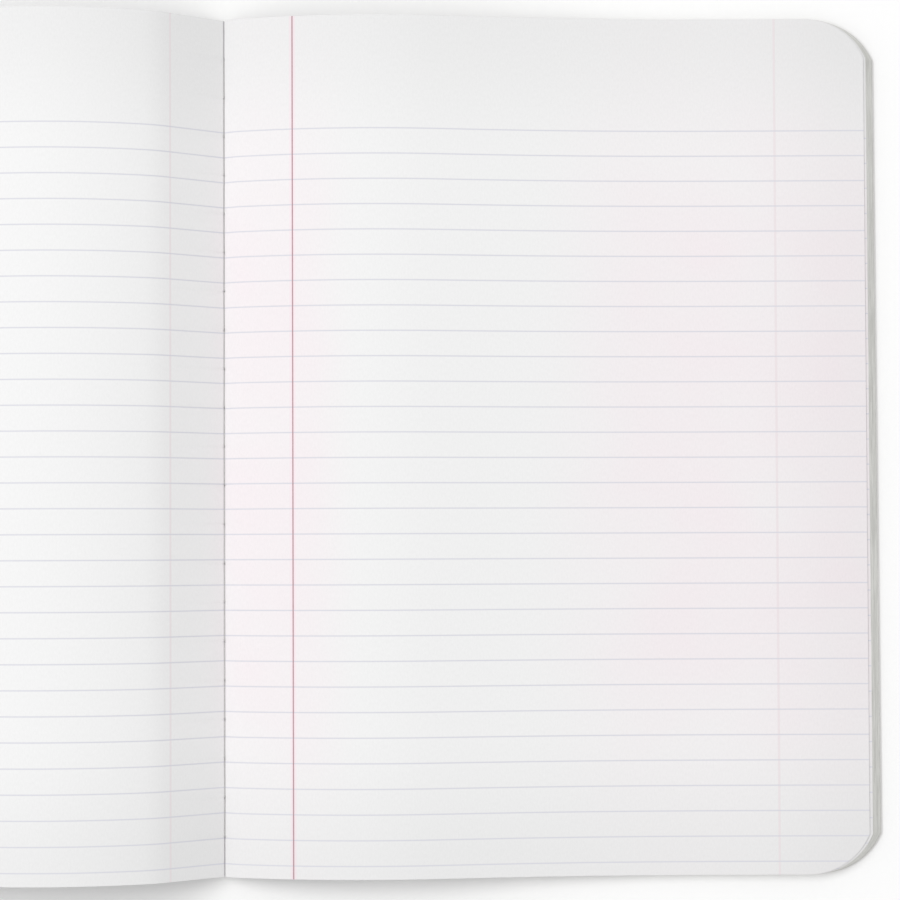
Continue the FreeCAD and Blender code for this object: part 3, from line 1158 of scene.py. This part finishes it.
@dataclass(frozen=True)
class StitchSizes:
    """Sizes of the lockstitch through the fold."""

    count: int = 20
    pitch: float = 11.25 * MM
    ply_radius: float = 0.075 * MM
    ply_offset: float = 0.06 * MM
    twist_pitch: float = 1.3 * MM
    bend: float = 0.45 * MM
    run_z: float = 4.88 * MM
    lock_z: float = 2.8 * MM
    outside_z: float = 0.45 * MM
    dimple_radius: float = 0.55 * MM
    dimple_depth: float = 0.45 * MM
    hole_side: float = 0.19 * MM
    bend_steps: int = 6
    run_steps: int = 40
    sides: int = 7
    sway: float = 0.008
    seed: int = 12

    def holes(self) -> list[float]:
        """Y of every needle hole."""
        return [(i - self.count / 2) * self.pitch for i in range(self.count + 1)]


class SewingThread:
    """The two threads of the lockstitch, each a row of twisted stitches."""

    def __init__(self, sizes: StitchSizes) -> None:
        """Keep the sizes.

        Args:
            sizes: Sizes of the sewing.
        """
        self.sizes = sizes

    def centre_line(self, run_z: float) -> list[Vector]:
        """Follow one stitch out of a needle hole, along the fold and into the next hole.

        Args:
            run_z: Height of the straight run.

        Returns:
            The points of the path.
        """
        s = self.sizes
        half = s.pitch / 2 - s.hole_side
        bend = s.bend if run_z > s.lock_z else -s.bend
        turn = [Vector((0, -half, s.lock_z))]
        for step in range(s.bend_steps):
            angle = math.pi / 2 * step / s.bend_steps
            y = -half + s.bend * (1 - math.cos(angle))
            turn.append(Vector((0, y, run_z - bend * (1 - math.sin(angle)))))
        flat = half - s.bend
        run = [Vector((0, flat * (2 * i / s.run_steps - 1), run_z)) for i in range(s.run_steps + 1)]
        return turn + run + [Vector((0, -p.y, p.z)) for p in turn[::-1]]

    def stitch(self, name: str, run_z: float) -> bpy.types.Object:
        """Wind two plies round the path.

        Args:
            name: The object's name.
            run_z: Height of the straight run.

        Returns:
            The stitch, centred on Y.
        """
        s = self.sizes
        line = self.centre_line(run_z)
        parts = MeshParts()
        for ply in (0.0, math.pi):
            rings, turn = [], ply
            for index, centre in enumerate(line):
                before, after = line[max(index - 1, 0)], line[min(index + 1, len(line) - 1)]
                along = (after - before).normalized()
                side = Vector((1, 0, 0))
                up = side.cross(along)
                turn += 2 * math.pi * (centre - before).length / s.twist_pitch
                heart = centre + (side * math.cos(turn) + up * math.sin(turn)) * s.ply_offset
                ring = []
                for k in range(s.sides + 1):
                    a = 2 * math.pi * k / s.sides
                    spoke = side * math.cos(a) + up * math.sin(a)
                    ring.append(tuple(heart + spoke * s.ply_radius))
                rings.append(ring)
            uvs = [[(k / s.sides, i / len(rings)) for k in range(s.sides + 1)]
                   for i in range(len(rings))]
            parts.grid(rings, uvs, 0)
        return parts.build(name, ())

    def row_tree(self) -> bpy.types.NodeTree:
        """Build the node group that repeats a stitch along the fold.

        Returns:
            The node group, with named inputs for its sizes.
        """
        tree = bpy.data.node_groups.new("stitch_row", "GeometryNodeTree")
        tree.interface.new_socket("Geometry", in_out="INPUT", socket_type="NodeSocketGeometry")
        for name, kind in (("Stitch", "NodeSocketObject"), ("Count", "NodeSocketInt"),
                           ("Pitch", "NodeSocketFloat"), ("Sway", "NodeSocketFloat"),
                           ("Seed", "NodeSocketInt"), ("Thread", "NodeSocketMaterial")):
            tree.interface.new_socket(name, in_out="INPUT", socket_type=kind)
        tree.interface.new_socket("Geometry", in_out="OUTPUT", socket_type="NodeSocketGeometry")
        recipe = Recipe(tree)
        recipe.add("given", "NodeGroupInput")
        recipe.add("step", "ShaderNodeCombineXYZ", {"Y": "given.Pitch"})
        recipe.add("spans", MATH, {0: "given.Count", 1: 1.0}, operation="SUBTRACT")
        recipe.add("length", MATH, {0: "spans", 1: "given.Pitch"}, operation="MULTIPLY")
        recipe.add("start", MATH, {0: "length", 1: -0.5}, operation="MULTIPLY")
        recipe.add("origin", "ShaderNodeCombineXYZ", {"Y": "start"})
        recipe.add("row", "GeometryNodeMeshLine",
                   {"Count": "given.Count", "Start Location": "origin", "Offset": "step"},
                   mode="OFFSET")
        recipe.add("shape", "GeometryNodeObjectInfo", {"Object": "given.Stitch"})
        recipe.add("low", MATH, {0: "given.Sway", 1: -1.0}, operation="MULTIPLY")
        recipe.add("sway", "FunctionNodeRandomValue",
                   {"Min": "low", "Max": "given.Sway", "Seed": "given.Seed"}, data_type="FLOAT")
        recipe.add("turn", "ShaderNodeCombineXYZ", {"Z": "sway.1"})
        recipe.add("placed", "GeometryNodeInstanceOnPoints",
                   {"Points": "row", "Instance": "shape.Geometry", "Rotation": "turn"})
        recipe.add("real", "GeometryNodeRealizeInstances", {0: "placed"})
        recipe.add("dressed", "GeometryNodeSetMaterial",
                   {"Geometry": "real", "Material": "given.Thread"})
        recipe.add("result", "NodeGroupOutput", {0: "dressed"})
        return tree

    def row(self, tree: bpy.types.NodeTree, name: str, run_z: float,
            finish: bpy.types.Material) -> bpy.types.Object:
        """Make one of the two rows as a plain mesh.

        Args:
            tree: The node group that repeats the stitch.
            name: The row's name.
            run_z: Height of its straight runs.
            finish: The thread's material.

        Returns:
            The row.
        """
        source = self.stitch(name + "_source", run_z)
        holder = new_object(name, bpy.data.meshes.new(name))
        values = {"Stitch": source, "Count": self.sizes.count, "Pitch": self.sizes.pitch,
                  "Sway": self.sizes.sway, "Seed": self.sizes.seed, "Thread": finish}
        modifier = holder.modifiers.new("row", "NODES")
        modifier.node_group = tree
        for item in tree.interface.items_tree:
            if item.in_out == "INPUT" and item.name in values:
                modifier[item.identifier] = values[item.name]
        depsgraph = bpy.context.evaluated_depsgraph_get()
        made = bpy.data.meshes.new_from_object(holder.evaluated_get(depsgraph))
        holder.modifiers.remove(modifier)
        holder.data = made
        made.name = name
        made.shade_smooth()
        bpy.data.objects.remove(source)
        return holder

    def build(self, finish: bpy.types.Material) -> list[bpy.types.Object]:
        """Make the thread.

        Args:
            finish: The thread's material.

        Returns:
            The row inside the fold and the row outside it.
        """
        tree = self.row_tree()
        inner = self.row(tree, "inner_stitches", self.sizes.run_z, finish)
        outer = self.row(tree, "outer_stitches", self.sizes.outside_z, finish)
        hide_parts(Node.THREAD.value)
        for made in (inner, outer):
            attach(made, Body.LEAVES.value)
        return [inner, outer]


class Covers:
    """The boards, linings and tape, which keep their construction shapes and get their finishes."""

    def dress(self, node: Node, finish: bpy.types.Material) -> None:
        """Give a construction node its material.

        Args:
            node: The node.
            finish: Its material.
        """
        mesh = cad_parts[node.value].data
        mesh.materials.clear()
        mesh.materials.append(finish)
        LOG.info("dressed %s", node.value)

    def build(self) -> None:
        """Dress every cover node."""
        board, cloth, lining = MarbledBoard().build(), BookCloth().build(), LiningPaper().build()
        for node in (Node.FRONT_BOARD, Node.BACK_BOARD):
            self.dress(node, board)
        for node in (Node.SPINE_TAPE, Node.FRONT_LAP, Node.BACK_LAP):
            self.dress(node, cloth)
        for node in (Node.FRONT_LINING, Node.BACK_LINING):
            self.dress(node, lining)


@dataclass(frozen=True)
class Lamp:
    """A soft area lamp."""

    name: str
    place: Point
    aim: Point
    size: float
    watts: float
    colour: str = "#FFFFFF"

    def build(self) -> None:
        """Hang the lamp and aim it."""
        light = bpy.data.lights.new(self.name, "AREA")
        light.shape = "DISK"
        light.size = self.size
        light.energy = self.watts
        light.color = linear(self.colour)[:3]
        made = new_object(self.name, light)
        made.location = self.place
        beam = Vector(self.aim) - Vector(self.place)
        made.rotation_euler = beam.to_track_quat("-Z", "Y").to_euler()


@dataclass(frozen=True)
class Studio:
    """The photograph's viewpoint, a plain white floor and soft daylight from the upper left."""

    camera_place: Point = (65.15 * MM, -29.82 * MM, 852.97 * MM)
    camera_pitch: float = 1.934
    camera_roll: float = -0.219
    lens: float = 117.356
    sensor: float = 36.0
    sky: float = 0.71
    white: str = "#FFFFFF"
    floor: str = "#FBFBFB"
    floor_reach: float = 3.0
    floor_drop: float = 0.2 * MM
    floor_lift: float = 0.03
    lamps: tuple[Lamp, ...] = (
        Lamp("window", (-0.46, 0.24, 1.38), (0.0, 0.0, 0.0), 0.9, 8.3),
    )

    def build(self) -> None:
        """Set up the view, the floor, the sky and the lamps."""
        self.build_camera()
        self.build_floor()
        self.build_sky()
        for lamp in self.lamps:
            lamp.build()

    def build_camera(self) -> None:
        """Look straight down, tipped a little towards the head of the pages."""
        data = bpy.data.cameras.new("camera")
        data.lens = self.lens
        data.sensor_width = self.sensor
        made = new_object("camera", data)
        made.location = self.camera_place
        made.rotation_euler = (math.radians(self.camera_pitch), 0.0,
                               math.radians(self.camera_roll))
        bpy.context.scene.camera = made

    def build_floor(self) -> None:
        """Lay a large white floor, which a camera below it sees through."""
        mesh = bpy.data.meshes.new("floor")
        signs = ((-1, -1), (1, -1), (1, 1), (-1, 1))
        corners = [(x * self.floor_reach, y * self.floor_reach, -self.floor_drop) for x, y in signs]
        mesh.from_pydata(corners, [], [(0, 1, 2, 3)])
        mesh.materials.append(self.floor_finish())
        made = new_object("floor", mesh)

    @staticmethod
    def add_seen(recipe: Recipe) -> None:
        """Mask the rays that are seen, straight or by way of a glossy or a clear piece.

        Args:
            recipe: The tree to add to.
        """
        recipe.add("path", "ShaderNodeLightPath")
        recipe.add("mirrored", MATH, {0: "path.Is Glossy Ray", 1: "path.Is Transmission Ray"},
                   operation="MAXIMUM")
        recipe.add("seen", MATH, {0: "path.Is Camera Ray", 1: "mirrored"}, operation="MAXIMUM")

    def floor_finish(self) -> bpy.types.Material:
        """Make white seamless paper, lifted a little where it is seen, and clear from below.

        Returns:
            The material.
        """
        recipe, material = Recipe.for_material("white_backdrop_paper")
        self.add_seen(recipe)
        # Seamless paper is matt and even, so it shows soft shadows and nothing else
        recipe.add("matt", "ShaderNodeBsdfDiffuse", {"Color": linear(self.floor)})
        recipe.add("glow", MATH, {0: "seen", 1: self.floor_lift}, operation="MULTIPLY")
        recipe.add("lift", "ShaderNodeEmission", {"Color": linear(self.white), "Strength": "glow"})
        recipe.add("lit", "ShaderNodeAddShader", {0: "matt", 1: "lift"})
        recipe.add("clear", "ShaderNodeBsdfTransparent")
        recipe.add("side", "ShaderNodeNewGeometry")
        recipe.add("hide", MATH, {0: "side.Backfacing", 1: "path.Is Camera Ray"},
                   operation="MULTIPLY")
        recipe.add("both", "ShaderNodeMixShader", {0: "hide", 1: "lit", 2: "clear"})
        recipe.add("output", "ShaderNodeOutputMaterial", {"Surface": "both"})
        return material

    def build_sky(self) -> None:
        """Make an even white sky that lights softly and looks plain white."""
        world = bpy.data.worlds.new("studio")
        world.use_nodes = True
        recipe = Recipe(world.node_tree)
        self.add_seen(recipe)
        recipe.add("light", "ShaderNodeBackground",
                   {"Color": linear(self.white), "Strength": self.sky})
        recipe.add("plain", "ShaderNodeBackground", {"Color": linear(self.white), "Strength": 1.0})
        recipe.add("both", "ShaderNodeMixShader", {0: "seen", 1: "light", 2: "plain"})
        recipe.add("output", "ShaderNodeOutputWorld", {"Surface": "both"})
        bpy.context.scene.world = world


def main() -> None:
    """Build the notebook's looks and the studio."""
    logging.basicConfig(level=logging.INFO, format="%(message)s")
    bpy.context.scene.view_settings.view_transform = "Standard"
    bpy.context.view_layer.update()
    stitches = StitchSizes()
    page = RuledPaper().build()
    pile = LeafBlock(LeafSizes(), stitches).build(page, TrimmedEdges().build())
    LOG.info("leaf pile: %d faces", len(pile.data.polygons))
    for row in SewingThread(stitches).build(CottonThread().build()):
        LOG.info("%s: %d faces", row.name, len(row.data.polygons))
    Covers().build()
    Studio().build()


if __name__ == "__main__":
    main()
